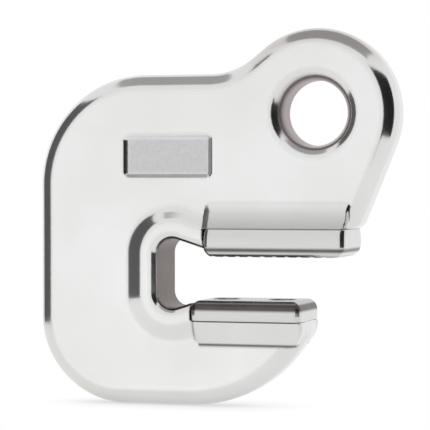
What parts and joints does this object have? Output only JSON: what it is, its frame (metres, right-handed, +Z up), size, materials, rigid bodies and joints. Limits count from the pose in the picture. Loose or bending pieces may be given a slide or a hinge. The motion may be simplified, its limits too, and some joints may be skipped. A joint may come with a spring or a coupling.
{
  "type": "pipe lifting hook",
  "caption": "Forged C-shaped pipe lifting hook: rounded plate body with a flared lifting eye, a beaded throat and two wide jaws with screwed-on gripping liners.",
  "frame": {"origin": "centre of the lifting eye, at the middle of the plate's thickness", "axes": "+X towards the open end of the mouth, +Y through the plate to its back face, along the eye's axis, +Z up"},
  "size_m": [0.2079, 0.043, 0.2095],
  "materials": {
    "forged_body": "polished nickel chrome plate over forged steel",
    "liner_steel": "plated hardened steel, ground and slightly worn",
    "screw_steel": "dark oiled steel"
  },
  "bodies": {
    "root": {"hook_body": "forged_body", "upper_liner": "liner_steel", "lower_liner": "liner_steel", "upper_liner_screws": "screw_steel", "lower_liner_screws": "screw_steel"}
  },
  "joints": []
}
